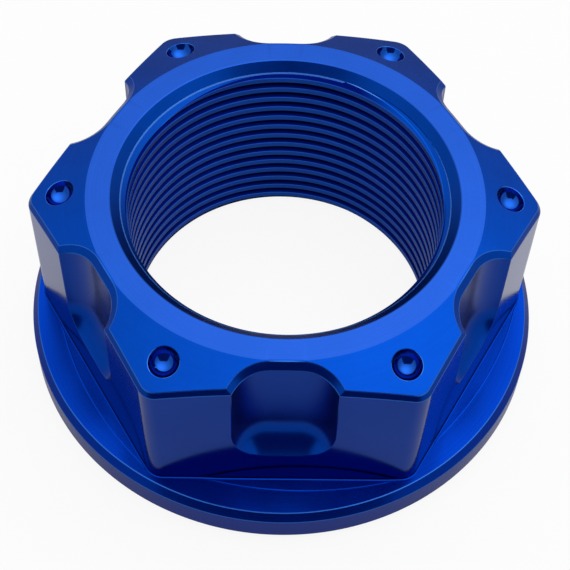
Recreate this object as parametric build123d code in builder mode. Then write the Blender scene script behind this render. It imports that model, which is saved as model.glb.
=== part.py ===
from build123d import *
import os
from math import radians, tan

# Steering stem nut: a flanged hexagon nut, turned and milled from one piece of aluminium.
# Millimetres, +Z up the stem. The origin is the centre of the underside.
# The fine thread is not cut: its place is a plain bore at the thread's minor diameter.

# Whole nut
height = 15.0
sides = 6
side_angle = 360 / sides

# Bore of the M22 x 1 thread
thread_minor_diameter = 21.1
top_countersink = 1.03
bottom_countersink = 0.55

# Hexagon
across_flats = 30.0
corner_rounding = 1.3

# Top: a flat ring, then a cone that falls to the corners
ring_radius = 13.18
cone_fall = tan(radians(20))
crown_chamfer = 0.3

# Flange. The milling of the faces left a shallow pocket in it at the foot of each one
flange_radius = 18.0
flange_height = 3.0
pocket_radius = 15.9
pocket_depth = 0.08
rim_chamfer_width = 0.41
rim_chamfer_height = 0.6
base_chamfer = 0.5

# Notch in each face, left by an upright round-nosed mill that moves a little sideways
mill_radius = 2.6
mill_travel = 2.0
notch_depth = 1.4
notch_bottom = 5.8

# Round-bottomed dimple at each corner
dimple_circle = 15.0
dimple_radius = 1.0
dimple_depth = 0.85

# Values that follow from those above
bore_radius = thread_minor_diameter / 2
pocket_height = flange_height - pocket_depth
face_distance = across_flats / 2
mill_centre = face_distance - notch_depth + mill_radius
mill_height = notch_bottom + mill_radius
ball_radius = (dimple_radius**2 + dimple_depth**2) / (2 * dimple_depth)
ball_height = height - (dimple_circle - ring_radius) * cone_fall + ball_radius - dimple_depth

# Round-nosed mill in one notch, as the shape that it sweeps
with BuildPart() as mill:
    with BuildSketch(Plane.XY.offset(mill_height)):
        with Locations((mill_centre, 0)):
            SlotCenterToCenter(mill_travel, 2 * mill_radius, rotation=90)
    extrude(amount=height)
    with Locations((mill_centre, 0, mill_height)):
        Cylinder(mill_radius, mill_travel, rotation=(90, 0, 0))
        with GridLocations(0, mill_travel, 1, 2):
            Sphere(mill_radius)

with BuildPart() as stem_nut:
    # Hexagon blank with rounded corners, from the underside to the top
    with BuildSketch() as hexagon:
        RegularPolygon(face_distance, sides, major_radius=False)
        fillet(hexagon.vertices(), corner_rounding)
    extrude(amount=height)

    # The cone takes the top off the corners
    with BuildSketch(Plane.XZ):
        with BuildLine():
            Polyline(
                (ring_radius, height),
                (flange_radius, height - (flange_radius - ring_radius) * cone_fall),
                (flange_radius, height),
                close=True,
            )
        make_face()
    revolve(axis=Axis.Z, mode=Mode.SUBTRACT)

    # Six notches, then one chamfer round the crown
    with PolarLocations(0, sides, start_angle=side_angle / 2):
        add(mill.part, mode=Mode.SUBTRACT)
    cone = stem_nut.faces().filter_by(GeomType.CONE)
    chamfer(cone.edges().filter_by(GeomType.CIRCLE, reverse=True), crown_chamfer)

    # Six dimples
    with PolarLocations(dimple_circle, sides):
        with Locations((0, 0, ball_height)):
            Sphere(ball_radius, mode=Mode.SUBTRACT)

    # Flange
    with BuildSketch(Plane.XZ):
        with BuildLine():
            Polyline(
                (0, 0),
                (flange_radius - base_chamfer, 0),
                (flange_radius, base_chamfer),
                (flange_radius, flange_height - rim_chamfer_height),
                (flange_radius - rim_chamfer_width, flange_height),
                (pocket_radius, flange_height),
                (pocket_radius, pocket_height),
                (0, pocket_height),
                close=True,
            )
        make_face()
    revolve(axis=Axis.Z)

    # Bore, opened out at both ends
    Hole(bore_radius)
    mouths = stem_nut.edges().filter_by(GeomType.CIRCLE).filter_by(lambda edge: edge.radius == bore_radius)
    chamfer(mouths.sort_by(Axis.Z)[-1], top_countersink)
    chamfer(mouths.sort_by(Axis.Z)[0], bottom_countersink)

stem_nut.part.label = "stem_nut"
os.makedirs("parts", exist_ok=True)
export_step(stem_nut.part, "parts/stem_nut.step")
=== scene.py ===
"""A steering stem nut in blue anodised aluminium, on white.

The nut's sizes are in millimetres, and the stage's are in metres. +Z is up the thread's axis, and -Y
is square to one face of the hexagon. The nut is one mesh, made of columns round the axis. Each column
is a section through the nut. Its points have keys, and neighbouring columns are joined where their
keys are equal.
"""
from math import acos, asin, atan, atan2, ceil, cos, floor, inf, pi, radians, sin, sqrt, tan

import bmesh
import bpy
import numpy as np
from mathutils import Matrix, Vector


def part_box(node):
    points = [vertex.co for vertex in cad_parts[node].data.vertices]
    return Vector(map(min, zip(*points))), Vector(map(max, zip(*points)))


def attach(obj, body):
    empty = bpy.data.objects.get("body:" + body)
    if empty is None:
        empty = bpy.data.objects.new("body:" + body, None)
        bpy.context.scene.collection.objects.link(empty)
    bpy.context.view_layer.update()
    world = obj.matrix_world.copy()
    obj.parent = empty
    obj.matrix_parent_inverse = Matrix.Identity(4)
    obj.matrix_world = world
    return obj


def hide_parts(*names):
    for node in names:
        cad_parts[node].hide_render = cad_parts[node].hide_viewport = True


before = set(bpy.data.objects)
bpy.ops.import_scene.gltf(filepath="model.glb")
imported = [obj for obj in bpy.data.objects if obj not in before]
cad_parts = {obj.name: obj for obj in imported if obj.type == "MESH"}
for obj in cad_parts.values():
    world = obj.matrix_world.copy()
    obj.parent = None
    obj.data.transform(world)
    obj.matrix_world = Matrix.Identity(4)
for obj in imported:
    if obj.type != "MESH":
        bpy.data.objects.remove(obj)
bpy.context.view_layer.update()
MM = 0.001

# Whole nut, from the frame
top_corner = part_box("stem_nut")[1]
HEIGHT = top_corner.z / MM
FLANGE = top_corner.x / MM

# Hexagon: from the axis to a face, and the corners' rounding
FACE = 15.0
CORNER = 1.3
SIDES = 6
SECTOR = 2 * pi / SIDES

# Top ring and cone
RING = 13.18
CONE_FALL = tan(radians(20))

# Flange
FLANGE_TOP = 3.0
RIM_CHAMFER_IN = 0.41
RIM_CHAMFER_DOWN = 0.6
BASE_CHAMFER = 0.5

# Shallow pocket that the milling left in the flange along each face. Its outline is part of a circle,
# which runs from POCKET_START beside the face's middle to the face's other end, and reaches POCKET_REACH
# from the axis. It has its full depth where it is POCKET_FULL wide. Its side slopes over POCKET_SIDE
POCKET_DEPTH = 0.08
POCKET_START = -5.4
POCKET_REACH = 15.9
POCKET_FULL = 0.3
POCKET_SIDE = 0.04

# Burr round the pocket, at least NARROWEST_FOOT from the face, and the fillet at the foot of the face
BURR_WIDTH = 0.07
BURR_HEIGHT = 0.015
BURR_MARGIN = 0.03
FILLET_WIDTH = 0.1
FILLET_HEIGHT = 0.08
FILLET_MIDDLE = 0.3
NARROWEST_FOOT = 1.5 * FILLET_WIDTH

# Notches: an upright round-nosed mill that moves a little sideways
MILL = 2.6
TRAVEL = 1.0
NOTCH_DEPTH = 1.4
NOTCH_BOTTOM = 5.8
MILL_CENTRE = FACE - NOTCH_DEPTH + MILL
MILL_HEIGHT = NOTCH_BOTTOM + MILL

# Chamfer round the crown: down the wall, and in from the face or the notch
CHAMFER_DOWN = 0.32
CHAMFER_FACE = 0.22
CHAMFER_NOTCH = 0.41

# Dimples. Their rim, from RIM_FROM to RIM_TO from the middle, has the finish of an edge, with its painted
# highlight
DIMPLE_CIRCLE = 15.0
DIMPLE_RADIUS = 1.0
DIMPLE_DEPTH = 0.85
DIMPLE_BALL = (DIMPLE_RADIUS**2 + DIMPLE_DEPTH**2) / (2 * DIMPLE_DEPTH)
RIM_FROM = 0.97
RIM_TO = 1.05

# Thread, M22 x 1, right-hand. On +X a crest begins THREAD_START above the nut's top
PITCH = 1.0
CREST = 10.55
ROOT = 11.0
CREST_WIDTH = 0.4
FLANK = (ROOT - CREST) * tan(radians(30))
THREAD_START = -0.03

# Countersinks, with the radius of each at its mouth. The upper one ends where it meets the thread, and
# no deeper than a limit. The limit is SINK_DEPTH from +X round to SINK_TURN, and then grows over
# SINK_SPAN to the depth at which the cone meets the crests. The thread begins LEDGE lower
TOP_MOUTH = 11.58
BOTTOM_MOUTH = 11.17
SINK_DEPTH = 0.68
SINK_TURN = radians(100)
SINK_SPAN = radians(45)
LEDGE = 0.002

# Share of red, green and blue light that the dyed film returns on each kind of surface. Some of these paint
# light or shade, as noted below
RING_BLUE = (0.008, 0.045, 0.26)
CONE_BLUE = (0.001, 0.034, 0.255)
FACE_BLUE = (0.001, 0.032, 0.25)
FLANGE_BLUE = (0.0005, 0.0215, 0.225)
# Painted highlight: a lighter film along every broken edge and round the dimples' rims
EDGE_HIGHLIGHT_BLUE = (0.02, 0.1, 0.4)
SINK_BLUE = (0.001, 0.036, 0.26)
# Painted highlight: a lighter film for the thread's crests and for the dimples
CREST_AND_DIMPLE_HIGHLIGHT_BLUE = (0.006, 0.052, 0.3)
# Painted shade: the deep blue of the thread's grooves
GROOVE_SHADE_BLUE = (0.0005, 0.0035, 0.075)
WORN_BLUE = (0.05, 0.17, 0.56)
LEAD_BLUE = (0.003, 0.062, 0.42)

# Finish of each kind of surface: the film, its roughness, the depth of the turning marks and of the
# satin grain, and how far the marks spread a reflection across them
FINISHES = {
    "turned_flange": (FLANGE_BLUE, 0.25, 0.0016, 0.0006, 0.5),
    "milled_faces": (FACE_BLUE, 0.11, 0.0, 0.00008, 0.0),
    "turned_crown": (CONE_BLUE, 0.25, 0.0008, 0.0006, 0.4),
    "thread": (SINK_BLUE, 0.33, 0.0, 0.0008, 0.0),
    "turned_ring": (RING_BLUE, 0.27, 0.0012, 0.0012, 0.4),
    "milled_notches": (FACE_BLUE, 0.25, 0.0, 0.0007, 0.0),
    # Broken edges and dimples' rims: a lighter film that paints a highlight along them
    "edges": (EDGE_HIGHLIGHT_BLUE, 0.3, 0.0, 0.0006, 0.0),
    # Dimples take the crests' lighter film as a painted highlight
    "dimples": (CREST_AND_DIMPLE_HIGHLIGHT_BLUE, 0.1, 0.0, 0.0003, 0.0),
}

# Grains in a millimetre of the film's satin, of its rings round the axis and of its broad patches
SATIN_GRAINS = 7.0
RING_GRAINS = 5.0
PATCH_GRAINS = 0.35

# How far the film's colour varies each way, and what each of the three adds to it and to the roughness
TONE_RANGE = 0.12
TONE_SATIN = 0.25
TONE_RINGS = 0.25
TONE_PATCHES = 0.4
ROUGH_SATIN = 0.12
ROUGH_PATCHES = 0.15

# Thread's grooves: how far outside the crests their painted shade, a deep blue, begins and over what
# distance it sets in, and how much rougher it is. Down to PALE_DEPTH the painted shade fades out to the
# right, from x = PALE_FROM on, over PALE_OVER
GROOVE_FROM = 0.01
GROOVE_OVER = 0.04
GROOVE_ROUGH = 0.1
PALE_DEPTH = 1.0
PALE_FROM = 5.15
PALE_OVER = 3.03

# Worn line on the upper countersink: the depth at which it begins, how far that wanders, and how much
# rougher the line is. A point is on the countersink where it lies this near to its cone
WORN_DEPTH = 0.6
WORN_WANDER = 0.02
WORN_ROUGH = 0.2
ON_SINK = 0.012

# Tint of what the film returns at a grazing angle, and the turn that lays the spread across the marks
GRAZING = (0.75, 0.75, 0.75)
QUARTER_TURN = 0.25

# Camera, fitted to the photograph: its direction and roll in degrees, its distance in millimetres from
# the middle of the nut's top, how far it is then moved to its right and up, and its focal length
PICTURE = 570
CAMERA_AZIMUTH = -1.866
CAMERA_ELEVATION = 55.615
CAMERA_ROLL = 2.271
CAMERA_DISTANCE = 96.95
CAMERA_ASIDE = -0.058
CAMERA_ABOVE = -6.255
FOCAL_PIXELS = 1472

# Floor: half its side, its own grey, and the share of plain white in what the camera, and a reflection,
# see of it
FLOOR_HALF = 0.6
FLOOR_GREY = 0.85
CAMERA_WHITE = 0.9
MIRROR_WHITE = 0.35

# Light of the room on the nut and the floor
ROOM_LIGHT = 0.1

# Lamps: name, place, size and radiance
LAMPS = (
    ("overhead", (0.065, 0.21, 0.4), (1.75, 2.04), 1.15),
    ("key", (0.12, 0.10, 0.39), (0.84, 0.84), 1.6),
)

# Cards that only reflections show. An upright one has its azimuth from +Y, distance, width and height.
# The mat lies on the floor in front of the nut, and has its corners
NAVY = (0.08, 0.1, 0.24)
GREY = (0.6, 0.6, 0.6)
FLAG = (radians(182), 0.25, 0.42, 0.41)
WALL_CARD = (0.0, 0.5, 0.8, 0.13)
MAT = [(-0.16, -0.25, 0.0005), (0.16, -0.25, 0.0005), (0.05, -0.05, 0.0005), (-0.05, -0.05, 0.0005)]

# Keys along the outside's section, from the bottom mouth out and up to the top mouth. A broken corner
# has two points, KEY_STEP before and after its key. In the bore, a point's key is the helix's height
# less its own, and the foot of the countersink comes before all of those
BOTTOM, BASE, SIDE, RIM, FLANGE_EDGE, POCKET_EDGE, FOOT = range(7)
LIP, WALL, CHAMFER, CROWN, RING_EDGE, MOUTH = range(7, 13)
KEY_STEP = 0.1
SINK_KEY = -1000.0

# Edge break on every corner of the section, how far it lowers a dimple's rim, and how near the ring may
# come to the crown's edge. Faces that turn by CRISP or more meet in a crisp edge
EDGE = 0.04
RIM_DIP = 0.4 * EDGE
RING_MARGIN = 3 * EDGE
CRISP = radians(13)

# Rows of the mesh in the notch's floor, and the height at which they end
FLOOR_ROWS = 12
FLOOR_ROWS_TOP = MILL_HEIGHT + 1.2

# Columns of the mesh from the middle of a face to a corner: in the flat of the notch, its round end,
# the face, the part of a dimple's patch that is on the face, and the rounded corner
FLAT_COLUMNS = 3
ROUND_COLUMNS = 13
FACE_COLUMNS = 8
PATCH_COLUMNS = 6
CORNER_COLUMNS = 6

# Square patch round a dimple: how many columns or rows from its middle it ends and the dimple's rim
# lies, and the angle from the middle of a face at which it begins, outside and at the ring
PATCH = PATCH_COLUMNS + CORNER_COLUMNS - 1
RIM_ROW = 8
PATCH_ANGLE = radians(24.4)
PATCH_ANGLE_INSIDE = radians(22.8)


def hexagon(own, face=FACE, corner=CORNER):
    """Distance from the axis to the hexagon, at an angle from the middle of a face."""
    own = abs(own)
    inner = face - corner
    if own <= atan(inner * tan(SECTOR / 2) / face):
        return face / cos(own)
    centre = inner / cos(SECTOR / 2)
    turn = SECTOR / 2 - own
    return centre * cos(turn) + sqrt(corner**2 - (centre * sin(turn)) ** 2)


def milled(own, radius):
    """Distance from the axis to a notch of that mill radius, or infinity where there is none."""
    own = abs(own)
    flat = (MILL_CENTRE - radius) / cos(own)
    if flat * sin(own) <= TRAVEL:
        return flat
    along = MILL_CENTRE * cos(own) + TRAVEL * sin(own)
    square = along**2 - MILL_CENTRE**2 - TRAVEL**2 + radius**2
    return along - sqrt(square) if square > 0 else inf


def wall(own, height):
    """Distance from the axis to the face or the notch, at a height above the underside."""
    drop = max(0.0, MILL_HEIGHT - height)
    radius = sqrt(MILL**2 - drop**2) if drop < MILL else 0.0
    return min(hexagon(own), milled(own, radius))


def upper(own):
    """Distance from the axis to the crown chamfer's upper edge."""
    inner = hexagon(own, FACE - CHAMFER_FACE, CORNER - CHAMFER_FACE)
    return min(inner, milled(own, MILL + CHAMFER_NOTCH))


def lip(own):
    """Height of the notch's lower lip, and of the ends of its side edges elsewhere on the face."""
    reach = MILL**2 - (MILL_CENTRE - FACE) ** 2
    aside = max(0.0, FACE * tan(abs(own)) - TRAVEL)
    return MILL_HEIGHT - sqrt(max(0.0, reach - aside**2))


def crown(radius):
    """Height of the ring and the cone."""
    return HEIGHT - max(0.0, radius - RING) * CONE_FALL


def pocket(own):
    """Distance from the axis to the circle of the pocket's outline."""
    end = (FACE - CORNER) * tan(SECTOR / 2)
    half, rise = (end - POCKET_START) / 2, POCKET_REACH - FACE
    circle = (half**2 + rise**2) / (2 * rise)
    centre, aside = POCKET_REACH - circle, (end + POCKET_START) / 2
    along = centre * cos(own) + aside * sin(own)
    return along + sqrt(along**2 - centre**2 - aside**2 + circle**2)


def upper_sink(height):
    """Distance from the axis to the upper countersink's cone."""
    return TOP_MOUTH - (HEIGHT - height)


def lower_sink(height):
    """Distance from the axis to the lower countersink's cone."""
    return BOTTOM_MOUTH - height


def at(radius, angle, height):
    """Point at a distance from the axis, an angle round it and a height."""
    return np.array([radius * cos(angle), radius * sin(angle), height])


def foot(own):
    """Section of the flange's top from the burr in to the face, as (key, radius, height)."""
    face = hexagon(own)
    gap = pocket(own) - face
    share = min(1.0, max(0.0, gap / POCKET_FULL))
    edge = face + max(gap, NARROWEST_FOOT)
    level = FLANGE_TOP - POCKET_DEPTH * share
    places = (
        (edge + BURR_WIDTH + BURR_MARGIN, FLANGE_TOP),
        (edge + BURR_WIDTH, FLANGE_TOP),
        (edge, FLANGE_TOP + BURR_HEIGHT * share),
        (edge - POCKET_SIDE, level),
        (face + FILLET_WIDTH, level),
        (face + FILLET_MIDDLE * FILLET_WIDTH, level + FILLET_MIDDLE * FILLET_HEIGHT),
        (face, level + FILLET_HEIGHT),
    )
    keys = np.linspace(POCKET_EDGE, FOOT, len(places))
    return [(key, *place) for key, place in zip(keys, places)]


def half_columns(face, radius, patch_angle):
    """Angles of the columns from the middle of a face to a corner, for one outline."""
    across = acos((MILL_CENTRE - face) / radius)
    arc = np.linspace(0, across - EDGE / radius, ROUND_COLUMNS)
    notch = np.arctan2(TRAVEL + radius * np.sin(arc), MILL_CENTRE - radius * np.cos(arc))
    notch_side = atan2(TRAVEL + radius * sin(across) + EDGE, face)
    corner_start = atan((FACE - CORNER) * tan(SECTOR / 2) / face)
    return np.concatenate(
        [
            np.linspace(0, notch[0], FLAT_COLUMNS, endpoint=False),
            notch,
            np.linspace(notch_side, patch_angle, FACE_COLUMNS, endpoint=False),
            np.linspace(patch_angle, corner_start, PATCH_COLUMNS, endpoint=False),
            np.linspace(corner_start, SECTOR / 2, CORNER_COLUMNS),
        ]
    )


def all_columns(half):
    """Every column of the nut as its angles from the middle of a face and round the axis."""
    own = np.concatenate([-half[::-1], half[1:-1]])
    return [(angle, angle + SECTOR * side - pi / 2) for side in range(SIDES) for angle in own]


def soften(corners):
    """Breaks each corner that is marked soft into two points, a little way along its two sides."""
    points = []
    for i, (key, point, soft) in enumerate(corners):
        if not soft:
            points.append((key, point))
            continue
        for step in (-1, 1):
            side = corners[i + step][1] - point
            points.append((key + KEY_STEP * step, point + EDGE * side / np.linalg.norm(side)))
    return points


def turned(x, y):
    """Angle at which a point of a square ring goes on a circle."""
    if abs(x) >= abs(y):
        return pi / 4 * y / x + (pi if x < 0 else 0)
    return pi / 2 - pi / 4 * x / y + (pi if y < 0 else 0)


def dimple(row, column, corner_angle, plain):
    """Place of one point of the patch round a dimple. Row and column count from its middle."""
    ring = max(abs(row), abs(column))
    if ring == PATCH:
        return plain
    outward = at(1, corner_angle, 0)
    sideways = at(1, corner_angle + pi / 2, 0)
    tilt = atan(CONE_FALL)
    normal = sin(tilt) * outward + np.array([0, 0, cos(tilt)])
    downhill = cos(tilt) * outward - np.array([0, 0, sin(tilt)])
    centre = at(DIMPLE_CIRCLE, corner_angle, crown(DIMPLE_CIRCLE) + DIMPLE_BALL - DIMPLE_DEPTH)
    clearance = (DIMPLE_BALL - DIMPLE_DEPTH) * cos(tilt)
    widest = acos(clearance / DIMPLE_BALL)
    turn = turned(-row, column) if ring else 0.0
    across = cos(turn) * downhill + sin(turn) * sideways
    if ring < RIM_ROW:
        swing = (widest - EDGE / DIMPLE_BALL) * ring / (RIM_ROW - 1)
        return centre + DIMPLE_BALL * (sin(swing) * across - cos(swing) * normal)
    rim = DIMPLE_BALL * sin(widest) + (ring - RIM_ROW) * EDGE
    point = centre - clearance * normal + rim * across
    if ring > RIM_ROW + 1:
        point = (point + EDGE * across + plain) / 2
    point[2] = crown(np.hypot(point[0], point[1]))
    if ring == RIM_ROW:
        point[2] -= RIM_DIP
    return point


def outside(column, near):
    """Section of one column, from the bottom mouth out and up to the top mouth, as (key, point).

    The column has a pair of angles for the wall, one for the crown's edge and one for the ring. near
    counts the columns from a corner, and is negative before it.
    """
    (own, angle), (own_up, angle_up), (_, angle_in) = column
    hexagon_here = hexagon(own)
    corners = [
        (BOTTOM, at(BOTTOM_MOUTH + EDGE, angle_in, 0), False),
        (BASE, at(FLANGE - BASE_CHAMFER, angle, 0), True),
        (SIDE, at(FLANGE, angle, BASE_CHAMFER), True),
        (RIM, at(FLANGE, angle, FLANGE_TOP - RIM_CHAMFER_DOWN), True),
        (FLANGE_EDGE, at(FLANGE - RIM_CHAMFER_IN, angle, FLANGE_TOP), True),
    ]
    corners.extend((key, at(radius, angle, height), False) for key, radius, height in foot(own))

    # Notch's lower lip and floor, or the face
    start = lip(own)
    corners.append((LIP, at(hexagon_here, angle, start), start < MILL_HEIGHT))
    level = asin((MILL_CENTRE - FACE) / MILL)
    for i in range(1, FLOOR_ROWS + 1):
        swing = level + (pi / 2 - level) * i / FLOOR_ROWS
        height = start + (MILL_HEIGHT - start) * (1 - cos(swing) / cos(level))
        height += (FLOOR_ROWS_TOP - MILL_HEIGHT) * i / FLOOR_ROWS
        corners.append((LIP + i / FLOOR_ROWS, at(wall(own, height), angle, height), False))

    # Crown chamfer, cone with its dimple, and ring
    top = wall(own, HEIGHT)
    corners.append((CHAMFER, at(top, angle, crown(top) - CHAMFER_DOWN), True))
    edge = upper(own_up)
    edge_point = at(edge, angle_up, crown(edge))
    corners.append((CROWN, edge_point, True))
    ring_edge = min(RING, edge - RING_MARGIN)
    ring_point = at(ring_edge, angle_in, crown(ring_edge))
    in_patch = abs(near) <= PATCH
    rows = 2 * PATCH if in_patch else 2
    for i in range(1, rows):
        plain = edge_point + (ring_point - edge_point) * i / rows
        plain[2] = crown(np.hypot(plain[0], plain[1]))
        if in_patch:
            corner_angle = SECTOR * round(angle / SECTOR)
            plain = dimple(i - PATCH, near, corner_angle, plain)
        corners.append((CROWN + i / rows, plain, False))
    corners.append((RING_EDGE, ring_point, False))
    corners.append((MOUTH, at(TOP_MOUTH + EDGE, angle_in, HEIGHT), False))
    return soften(corners)


def thread_section(angle):
    """The helix's height at an angle, and the corners of the thread's section there, from above the nut
    to below it, as (height, radius)."""
    helix = HEIGHT + THREAD_START + PITCH * angle / (2 * pi)
    turn = ((0, CREST), (CREST_WIDTH, CREST), (CREST_WIDTH + FLANK, ROOT), (PITCH - FLANK, ROOT))
    first = floor((helix - HEIGHT) / PITCH) - 1
    last = ceil(helix / PITCH) + 1
    return helix, [(helix - i * PITCH - down, radius) for i in range(first, last) for down, radius in turn]


def crossings(corners, sink):
    """Heights at which the thread's section passes through a countersink, from the top down."""
    heights = []
    for (height, radius), (next_height, next_radius) in zip(corners, corners[1:]):
        over, next_over = radius - sink(height), next_radius - sink(next_height)
        if over * next_over < 0:
            heights.append(height + (next_height - height) * over / (over - next_over))
    return heights


def inside(angle):
    """Section of the bore at an angle, from the top mouth down to the bottom one, as (key, point)."""
    helix, corners = thread_section(angle)
    grown = min(1.0, max(0.0, (angle % (2 * pi) - SINK_TURN) / SINK_SPAN))
    limit = SINK_DEPTH + (TOP_MOUTH - CREST - SINK_DEPTH) * grown
    sink_foot = max(crossings(corners, upper_sink)[0], HEIGHT - limit)
    foot_radius = np.interp(sink_foot, *zip(*reversed(corners)))

    # Thread from just under the foot down to the lower countersink
    thread = [(height, radius) for height, radius in corners if radius > lower_sink(height)]
    thread.extend((height, lower_sink(height)) for height in crossings(corners, lower_sink))
    thread = [(height, radius) for height, radius in thread if height < sink_foot - 2 * LEDGE]
    thread.append((sink_foot - LEDGE, foot_radius))
    thread.sort(reverse=True)

    mouth = EDGE * sqrt(0.5)
    return [
        (-inf, at(upper_sink(HEIGHT - mouth), angle, HEIGHT - mouth)),
        (SINK_KEY, at(upper_sink(sink_foot), angle, sink_foot)),
        *((round(helix - height, 6), at(radius, angle, height)) for height, radius in thread),
        (inf, at(lower_sink(mouth), angle, mouth)),
    ]


def zip_columns(left, right):
    """Faces between two neighbouring columns of (key, vertex), joined where the keys are equal."""
    faces = []
    i = j = 0
    while i < len(left) - 1 or j < len(right) - 1:
        next_left = left[i + 1][0] if i < len(left) - 1 else None
        next_right = right[j + 1][0] if j < len(right) - 1 else None
        if next_left == next_right:
            faces.append((left[i][1], right[j][1], right[j + 1][1], left[i + 1][1]))
            i, j = i + 1, j + 1
        elif next_right is None or (next_left is not None and next_left < next_right):
            faces.append((left[i][1], right[j][1], left[i + 1][1]))
            i += 1
        else:
            faces.append((left[i][1], right[j][1], right[j + 1][1]))
            j += 1
    return faces


def finish_at(keys, centre):
    """Name of the finish of one face of the outside, from its corners' keys and its centre."""
    first, last = min(keys), max(keys)
    broken = round(last - first, 3) == 2 * KEY_STEP
    # Edge-break strips here, and the dimples' rims below, get the lighter film that paints a highlight on
    # them
    if broken and SIDE < last <= CROWN + KEY_STEP and (first < POCKET_EDGE or first > WALL):
        return "edges"
    if first < FOOT:
        return "turned_flange"
    azimuth = atan2(centre[1], centre[0])
    if first < CHAMFER:
        own = (azimuth + pi / 2 + SECTOR / 2) % SECTOR - SECTOR / 2
        return "milled_notches" if wall(own, centre[2]) < hexagon(own) else "milled_faces"
    if first >= RING_EDGE:
        return "turned_ring"
    corner = SECTOR * round(azimuth / SECTOR)
    along = (centre[0] * cos(corner) + centre[1] * sin(corner) - DIMPLE_CIRCLE) / cos(atan(CONE_FALL))
    aside = centre[1] * cos(corner) - centre[0] * sin(corner)
    off = np.hypot(along, aside)
    if off < RIM_FROM:
        return "dimples"
    return "edges" if off < RIM_TO else "turned_crown"


def nut_mesh():
    """Points in metres, faces, and the name of each face's finish."""
    halves = (
        half_columns(FACE, MILL, PATCH_ANGLE),
        half_columns(FACE - CHAMFER_FACE, MILL + CHAMFER_NOTCH, PATCH_ANGLE),
        half_columns(FACE, MILL, PATCH_ANGLE_INSIDE),
    )
    columns = list(zip(*(all_columns(half) for half in halves)))
    in_sector = len(columns) // SIDES
    points, outer, inner, faces, finishes = [], [], [], [], []

    def numbered(section):
        start = len(points)
        points.extend(point for _, point in section)
        return [(key, start + i) for i, (key, _) in enumerate(section)]

    for j, column in enumerate(columns):
        place = j % in_sector
        outer.append(numbered(outside(column, place if place <= PATCH else place - in_sector)))
        inner.append(numbered(inside(column[-1][1])))

    # The first column comes once more at the end, where each point of the thread is a pitch further on
    outer.append(outer[0])
    inner.append([(round(key + PITCH, 6) if key > SINK_KEY else key, vertex) for key, vertex in inner[0]])
    for left, right, bore_left, bore_right in zip(outer, outer[1:], inner, inner[1:]):
        keys = {vertex: key for key, vertex in left + right}
        for face in zip_columns(left, right):
            faces.append(face)
            centre = sum(points[vertex] for vertex in face) / len(face)
            finishes.append(finish_at([keys[vertex] for vertex in face], centre))
        bore = zip_columns(bore_left, bore_right)
        faces.extend(bore)
        finishes.extend(["thread"] * len(bore))
        faces.append((left[-1][1], right[-1][1], bore_right[0][1], bore_left[0][1]))
        faces.append((bore_left[-1][1], bore_right[-1][1], right[0][1], left[0][1]))
        finishes.extend(["turned_ring", "turned_flange"])
    return (np.array(points) * MM).tolist(), faces, finishes


def mesh_object(name, points, faces):
    """Adds a mesh to the scene, and gives its object."""
    mesh = bpy.data.meshes.new(name)
    mesh.from_pydata(points, [], faces)
    mesh.validate()
    obj = bpy.data.objects.new(name, mesh)
    bpy.context.scene.collection.objects.link(obj)
    return obj


def mark_corners(mesh):
    """Keeps the section's corners crisp: the edges that turn by more than the curved surfaces do."""
    work = bmesh.new()
    work.from_mesh(mesh)
    for edge in work.edges:
        edge.smooth = edge.calc_face_angle() < CRISP
    work.to_mesh(mesh)
    work.free()


class Graph:
    """Nodes of a material, a lamp or the world, with short forms for those that this scene uses."""

    def __init__(self, owner):
        owner.use_nodes = True
        self.nodes, self.links = owner.node_tree.nodes, owner.node_tree.links

    def add(self, kind, **settings):
        node = self.nodes.new(kind)
        for name, value in settings.items():
            setattr(node, name, value)
        return node

    def link(self, source, target):
        """Gives a socket another node's output, a colour or a number."""
        if isinstance(source, bpy.types.NodeSocket):
            self.links.new(source, target)
        else:
            target.default_value = (*source, 1) if isinstance(source, tuple) else source

    def math(self, operation, *values):
        node = self.add("ShaderNodeMath", operation=operation)
        for value, socket in zip(values, node.inputs):
            self.link(value, socket)
        return node.outputs[0]

    def rest(self, value):
        """What is left of 1."""
        return self.math("SUBTRACT", 1.0, value)

    def ramp(self, value, start, span):
        """Rises from 0 to 1 as a value passes from start over a span."""
        rising = self.math("MULTIPLY_ADD", value, 1 / span, -start / span)
        return self.math("MINIMUM", self.math("MAXIMUM", rising, 0.0), 1.0)

    def vector(self, x, y, z):
        node = self.add("ShaderNodeCombineXYZ")
        for value, socket in zip((x, y, z), node.inputs):
            self.link(value, socket)
        return node.outputs[0]

    def noise(self, place, grains):
        """Noise from about -1 to 1, with that many grains in a millimetre."""
        node = self.add("ShaderNodeTexNoise")
        self.link(place, node.inputs["Vector"])
        self.link(grains, node.inputs["Scale"])
        return self.math("MULTIPLY_ADD", node.outputs["Fac"], 2.0, -1.0)

    def blend(self, share, first, second):
        node = self.add("ShaderNodeMix", data_type="RGBA", clamp_factor=True)
        for value, name in ((share, "Factor"), (first, "A"), (second, "B")):
            self.link(value, node.inputs[name])
        return node.outputs["Result"]

    def light_path(self):
        """1 for rays from the camera, and 1 for rays from a reflection or through glass."""
        path = self.add("ShaderNodeLightPath")
        reflected = self.math("MAXIMUM", path.outputs["Is Glossy Ray"], path.outputs["Is Transmission Ray"])
        return path.outputs["Is Camera Ray"], reflected


def millimetres(graph):
    """Place on the nut in millimetres, with its x, its distance from the axis and its height."""
    scaled = graph.add("ShaderNodeVectorMath", operation="SCALE")
    graph.link(1 / MM, scaled.inputs["Scale"])
    graph.link(graph.add("ShaderNodeTexCoord").outputs["Object"], scaled.inputs[0])
    place = scaled.outputs["Vector"]
    split = graph.add("ShaderNodeSeparateXYZ")
    graph.link(place, split.inputs[0])
    x, y, z = split.outputs
    squares = graph.math("MULTIPLY_ADD", x, x, graph.math("MULTIPLY", y, y))
    return place, x, graph.math("SQRT", squares), z


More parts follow.
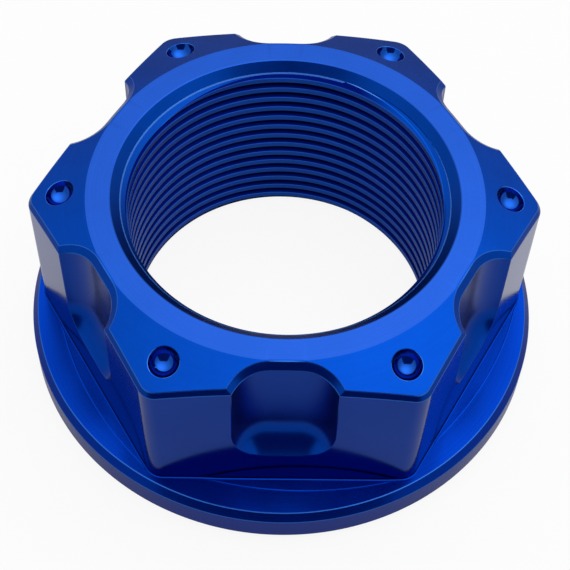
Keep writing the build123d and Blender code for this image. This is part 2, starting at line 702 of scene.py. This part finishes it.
def bore_film(graph, film, rough, satin, x, radius, height):
    """Film and roughness in the bore. The thread's crests get a lighter film as a painted highlight, and its
    grooves a deep one as painted shade. The upper countersink has a pale worn line, and below SINK_DEPTH it
    is a light lead into the thread."""
    depth = graph.math("SUBTRACT", HEIGHT, height)
    off_sink = graph.math("ABSOLUTE", graph.math("SUBTRACT", graph.math("ADD", radius, depth), TOP_MOUTH))
    sink = graph.math("LESS_THAN", off_sink, ON_SINK)
    thread = graph.rest(sink)
    below = graph.ramp(radius, CREST + GROOVE_FROM, GROOVE_OVER)
    # The crests get a lighter film, a painted highlight
    film = graph.blend(graph.math("MULTIPLY", thread, graph.rest(below)), film, CREST_AND_DIMPLE_HIGHLIGHT_BLUE)

    # Painted shade in the grooves, lifted to the right on the first turn
    first_turn = graph.math("MULTIPLY", thread, graph.math("LESS_THAN", depth, PALE_DEPTH))
    pale = graph.math("MULTIPLY", graph.ramp(x, PALE_FROM, PALE_OVER), first_turn)
    groove_shade = graph.math("MULTIPLY", below, graph.math("SUBTRACT", thread, pale))
    film = graph.blend(groove_shade, film, GROOVE_SHADE_BLUE)
    rough = graph.math("MULTIPLY_ADD", groove_shade, GROOVE_ROUGH, rough)

    lead = graph.math("MULTIPLY", sink, graph.math("GREATER_THAN", depth, SINK_DEPTH))
    film = graph.blend(lead, film, LEAD_BLUE)
    wandering = graph.math("MULTIPLY_ADD", satin, WORN_WANDER, depth)
    under = graph.math("MULTIPLY", sink, graph.math("GREATER_THAN", wandering, WORN_DEPTH))
    worn = graph.math("MULTIPLY", under, graph.rest(lead))
    film = graph.blend(worn, film, WORN_BLUE)
    return film, graph.math("MULTIPLY_ADD", worn, WORN_ROUGH, rough)


def anodised(name, colour, roughness, marks, grain, stretch):
    """Blue dyed film over bright aluminium, with the values of one line of FINISHES."""
    material = bpy.data.materials.new(name)
    graph = Graph(material)
    shader = graph.nodes["Principled BSDF"]
    place, x, radius, height = millimetres(graph)
    satin = graph.noise(place, SATIN_GRAINS)
    rings = graph.noise(graph.vector(radius, height, 0.0), RING_GRAINS)
    patches = graph.noise(place, PATCH_GRAINS)

    rough = graph.math("MULTIPLY_ADD", satin, ROUGH_SATIN * roughness, roughness)
    rough = graph.math("MULTIPLY_ADD", patches, ROUGH_PATCHES * roughness, rough)
    tone = graph.math("MULTIPLY_ADD", satin, TONE_SATIN, graph.math("MULTIPLY_ADD", rings, TONE_RINGS, 0.5))
    tone = graph.math("MULTIPLY_ADD", patches, TONE_PATCHES, tone)
    deep, light = (tuple(share * c for c in colour) for share in (1 - TONE_RANGE, 1 + TONE_RANGE))
    film = graph.blend(tone, deep, light)
    if name == "thread":
        film, rough = bore_film(graph, film, rough, satin, x, radius, height)

    tangent = graph.add("ShaderNodeTangent", direction_type="RADIAL", axis="Z")
    bump = graph.add("ShaderNodeBump")
    relief = graph.math("MULTIPLY_ADD", satin, grain, graph.math("MULTIPLY", rings, marks))
    for value, socket in ((1.0, "Strength"), (MM, "Distance"), (relief, "Height")):
        graph.link(value, bump.inputs[socket])

    inputs = {
        "Base Color": film,
        "Metallic": 1.0,
        "Roughness": rough,
        "Specular Tint": GRAZING,
        "Anisotropic": stretch,
        "Anisotropic Rotation": QUARTER_TURN,
        "Tangent": tangent.outputs["Tangent"],
        "Normal": bump.outputs["Normal"],
    }
    for socket, value in inputs.items():
        graph.link(value, shader.inputs[socket])
    return material


def floor_material():
    """Pale floor that takes the nut's shadow. Rays from the camera and from reflections see it whiter."""
    material = bpy.data.materials.new("floor")
    graph = Graph(material)
    shader = graph.nodes["Principled BSDF"]
    graph.link((FLOOR_GREY,) * 3, shader.inputs["Base Color"])
    graph.link(1.0, shader.inputs["Roughness"])
    graph.link(0.0, shader.inputs["Specular IOR Level"])
    white = graph.add("ShaderNodeEmission")
    graph.link((1, 1, 1), white.inputs["Color"])
    direct, reflected = graph.light_path()
    mix = graph.add("ShaderNodeMixShader")
    share = graph.math("MULTIPLY_ADD", reflected, MIRROR_WHITE, graph.math("MULTIPLY", direct, CAMERA_WHITE))
    graph.link(share, mix.inputs["Fac"])
    graph.link(shader.outputs["BSDF"], mix.inputs[1])
    graph.link(white.outputs["Emission"], mix.inputs[2])
    graph.link(mix.outputs["Shader"], graph.nodes["Material Output"].inputs["Surface"])
    return material


def card_material(name, colour):
    """Even light of one colour, with no reflection of its own."""
    material = bpy.data.materials.new(name)
    graph = Graph(material)
    shader = graph.nodes["Principled BSDF"]
    graph.link((0, 0, 0), shader.inputs["Base Color"])
    graph.link(0.0, shader.inputs["Specular IOR Level"])
    graph.link(colour, shader.inputs["Emission Color"])
    graph.link(1.0, shader.inputs["Emission Strength"])
    return material


def white_world():
    """Dim room for the object's light, and plain white for the camera and for reflections."""
    world = bpy.data.worlds.new("studio")
    bpy.context.scene.world = world
    graph = Graph(world)
    room = graph.nodes["Background"]
    graph.link((1, 1, 1), room.inputs["Color"])
    graph.link(ROOM_LIGHT, room.inputs["Strength"])
    white = graph.add("ShaderNodeBackground")
    graph.link((1, 1, 1), white.inputs["Color"])
    graph.link(1.0, white.inputs["Strength"])
    mix = graph.add("ShaderNodeMixShader")
    graph.link(graph.math("MAXIMUM", *graph.light_path()), mix.inputs["Fac"])
    graph.link(room.outputs["Background"], mix.inputs[1])
    graph.link(white.outputs["Background"], mix.inputs[2])
    graph.link(mix.outputs["Shader"], graph.nodes["World Output"].inputs["Surface"])


def stage_sheet(name, corners, material):
    """A flat sheet of the stage, with four corners."""
    obj = mesh_object(name, corners, [(0, 1, 2, 3)])
    obj.data.materials.append(material)
    return obj


def card(name, corners, colour):
    """A dim card that only the surfaces towards it show, as a reflection."""
    obj = stage_sheet(name, corners, card_material(name, colour))
    obj.visible_camera = False
    obj.visible_shadow = False
    obj.visible_diffuse = False


def upright(azimuth, distance, width, height):
    """Corners of an upright card that stands on the floor."""
    middle = distance * np.array([sin(azimuth), cos(azimuth), 0])
    across = width / 2 * np.array([cos(azimuth), -sin(azimuth), 0])
    top = np.array([0, 0, height])
    return [(middle + step).tolist() for step in (-across, across, across + top, top - across)]


def softbox(name, place, size, radiance):
    """A level lamp that shines down, brightest in the middle and dark at its rim."""
    data = bpy.data.lights.new(name, "AREA")
    data.shape = "RECTANGLE"
    data.size, data.size_y = size
    data.energy = radiance * pi * size[0] * size[1]
    graph = Graph(data)

    # Distance from the lamp's middle, which is 1 at the middle of each side
    centred = graph.add("ShaderNodeVectorMath", operation="MULTIPLY_ADD")
    graph.link(graph.add("ShaderNodeNewGeometry").outputs["Parametric"], centred.inputs[0])
    centred.inputs[1].default_value = (2, 2, 0)
    centred.inputs[2].default_value = (-1, -1, 0)
    out = graph.add("ShaderNodeVectorMath", operation="LENGTH")
    graph.link(centred.outputs["Vector"], out.inputs[0])
    falloff = graph.add("ShaderNodeMapRange", interpolation_type="SMOOTHSTEP")
    for value, socket in ((out.outputs["Value"], "Value"), (1.0, "To Min"), (0.0, "To Max")):
        graph.link(value, falloff.inputs[socket])
    graph.link(falloff.outputs["Result"], graph.nodes["Emission"].inputs["Strength"])

    obj = bpy.data.objects.new(name, data)
    obj.location = place
    obj.visible_camera = False
    bpy.context.scene.collection.objects.link(obj)


def camera():
    data = bpy.data.cameras.new("camera")
    data.sensor_width = 36.0
    data.lens = data.sensor_width * FOCAL_PIXELS / PICTURE
    data.clip_start = MM
    obj = bpy.data.objects.new("camera", data)
    bpy.context.scene.collection.objects.link(obj)
    azimuth, elevation, roll = (radians(v) for v in (CAMERA_AZIMUTH, CAMERA_ELEVATION, CAMERA_ROLL))
    back = np.array([sin(azimuth) * cos(elevation), -cos(azimuth) * cos(elevation), sin(elevation)])
    level = np.cross([0, 0, 1], back)
    level /= np.linalg.norm(level)
    level_up = np.cross(back, level)
    right = cos(roll) * level + sin(roll) * level_up
    up = cos(roll) * level_up - sin(roll) * level
    place = np.array([0, 0, HEIGHT]) + CAMERA_DISTANCE * back + CAMERA_ASIDE * right + CAMERA_ABOVE * up
    matrix = np.eye(4)
    matrix[:3, 0], matrix[:3, 1], matrix[:3, 2], matrix[:3, 3] = right, up, back, place * MM
    obj.matrix_world = Matrix(matrix.tolist())
    bpy.context.scene.camera = obj


# Nut
points, faces, finishes = nut_mesh()
nut = mesh_object("nut", points, faces)
for name, values in FINISHES.items():
    nut.data.materials.append(anodised(name, *values))
slots = {name: i for i, name in enumerate(FINISHES)}
nut.data.polygons.foreach_set("material_index", [slots[name] for name in finishes])
nut.data.polygons.foreach_set("use_smooth", [True] * len(nut.data.polygons))
mark_corners(nut.data)
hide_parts("stem_nut")
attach(nut, "root")

# Studio
floor_corners = [(x * FLOOR_HALF, y * FLOOR_HALF, 0) for x, y in ((-1, -1), (1, -1), (1, 1), (-1, 1))]
stage_sheet("floor", floor_corners, floor_material())
white_world()
camera()
for lamp in LAMPS:
    softbox(*lamp)
card("flag", upright(*FLAG), NAVY)
card("mat", MAT, NAVY)
card("wall", upright(*WALL_CARD), GREY)

bpy.context.scene.view_settings.view_transform = "Standard"
